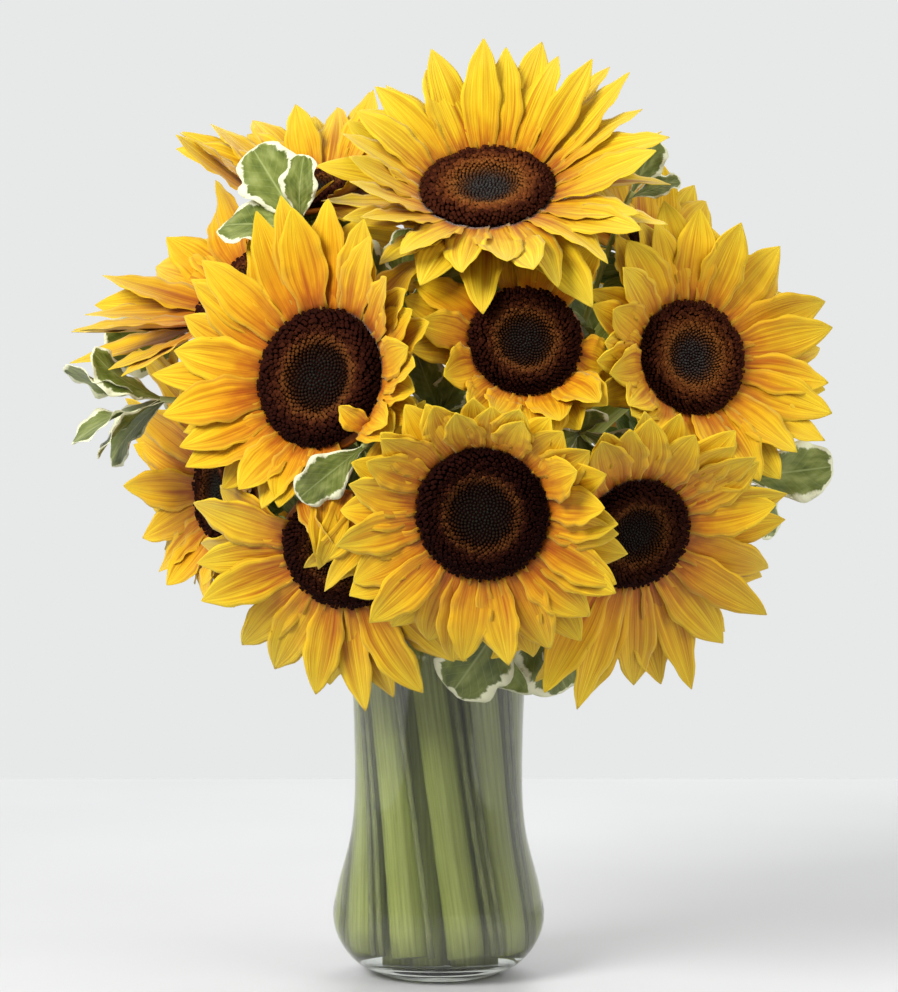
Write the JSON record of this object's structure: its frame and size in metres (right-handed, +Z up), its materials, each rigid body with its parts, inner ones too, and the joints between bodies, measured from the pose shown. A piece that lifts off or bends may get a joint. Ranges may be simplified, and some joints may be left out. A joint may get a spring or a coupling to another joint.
{
  "type": "sunflowers in a vase",
  "caption": "Bouquet of cut sunflowers and cream-edged foliage standing in water in a clear glass gathering vase.",
  "frame": {"origin": "centre of the vase's foot, on the surface that it stands on", "axes": "+Z up along the vase's axis, -Y towards the front of the bouquet, +X to the right as seen from the front"},
  "size_m": [0.3619, 0.3107, 0.4449],
  "materials": {
    "glass": "clear, polished",
    "water": "clear",
    "petals": "soft, with fine lines along the petal",
    "florets": "rough",
    "stem": "satin, ribbed",
    "leaves": "satin"
  },
  "bodies": {
    "root": {"foliage_01": "leaves", "foliage_02": "leaves", "foliage_03": "leaves", "foliage_04": "leaves", "foliage_05": "leaves", "foliage_06": "leaves", "foliage_07": "leaves", "foliage_08": "leaves", "foliage_09": "leaves", "foliage_10": "leaves", "foliage_11": "leaves", "foliage_12": "leaves", "foliage_13": "leaves", "sunflower_01_disc": "florets", "sunflower_01_petals": "petals", "sunflower_01_stem": "stem", "sunflower_02_disc": "florets", "sunflower_02_petals": "petals", "sunflower_02_stem": "stem", "sunflower_03_disc": "florets", "sunflower_03_petals": "petals", "sunflower_03_stem": "stem", "sunflower_04_disc": "florets", "sunflower_04_petals": "petals", "sunflower_04_stem": "stem", "sunflower_05_disc": "florets", "sunflower_05_petals": "petals", "sunflower_05_stem": "stem", "sunflower_06_disc": "florets", "sunflower_06_petals": "petals", "sunflower_06_stem": "stem", "sunflower_07_disc": "florets", "sunflower_07_petals": "petals", "sunflower_07_stem": "stem", "sunflower_08_disc": "florets", "sunflower_08_petals": "petals", "sunflower_08_stem": "stem", "sunflower_09_disc": "florets", "sunflower_09_petals": "petals", "sunflower_09_stem": "stem", "sunflower_10_disc": "florets", "sunflower_10_petals": "petals", "sunflower_10_stem": "stem", "sunflower_11_disc": "florets", "sunflower_11_petals": "petals", "sunflower_11_stem": "stem", "sunflower_12_disc": "florets", "sunflower_12_petals": "petals", "sunflower_12_stem": "stem", "sunflower_13_disc": "florets", "sunflower_13_petals": "petals", "sunflower_13_stem": "stem", "sunflower_14_disc": "florets", "sunflower_14_petals": "petals", "sunflower_14_stem": "stem", "vase": "glass", "water": "water"}
  },
  "joints": []
}
